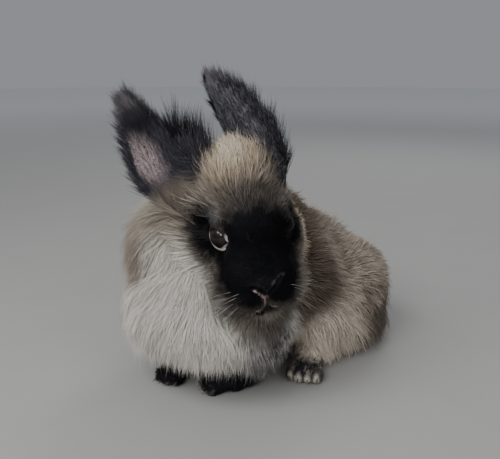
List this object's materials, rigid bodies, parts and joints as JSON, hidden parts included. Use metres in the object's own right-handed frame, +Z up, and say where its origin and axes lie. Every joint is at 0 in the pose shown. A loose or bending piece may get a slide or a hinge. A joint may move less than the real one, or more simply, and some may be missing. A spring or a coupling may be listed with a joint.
{
  "type": "domestic rabbit",
  "caption": "Life-size still model of a sitting long-haired dwarf rabbit with its head turned to its left, standing on its own feet.",
  "frame": {"origin": "on the floor, under the middle of the rabbit's box", "axes": "-Y the way the body faces, +X to the rabbit's left, +Z up"},
  "size_m": [0.1504, 0.216, 0.1984],
  "materials": {
    "dark_coat": "long soft black-brown fur",
    "grey_brown_coat": "soft grey-brown fur with dark tips",
    "cream_coat": "long soft cream-white wool",
    "skin": "bare skin of lids, nose and ear",
    "eye": "wet, glossy dark brown",
    "claw": "smooth horn"
  },
  "bodies": {
    "root": {"claw_fore_left_1": "claw", "claw_fore_left_2": "claw", "claw_fore_left_3": "claw", "claw_fore_left_4": "claw", "claw_fore_right_1": "claw", "claw_fore_right_2": "claw", "claw_fore_right_3": "claw", "claw_fore_right_4": "claw", "claw_hind_left_1": "claw", "claw_hind_left_2": "claw", "claw_hind_left_3": "claw", "claw_hind_left_4": "claw", "claw_hind_right_1": "claw", "claw_hind_right_2": "claw", "claw_hind_right_3": "claw", "claw_hind_right_4": "claw", "ear_left": "dark_coat", "ear_right": "dark_coat", "eye_left": "eye", "eye_right": "eye", "foreleg_left": "dark_coat", "foreleg_right": "dark_coat", "head": "dark_coat", "hindleg_left": "grey_brown_coat", "hindleg_right": "grey_brown_coat", "neck": "cream_coat", "tail": "grey_brown_coat", "torso": "grey_brown_coat"}
  },
  "joints": []
}
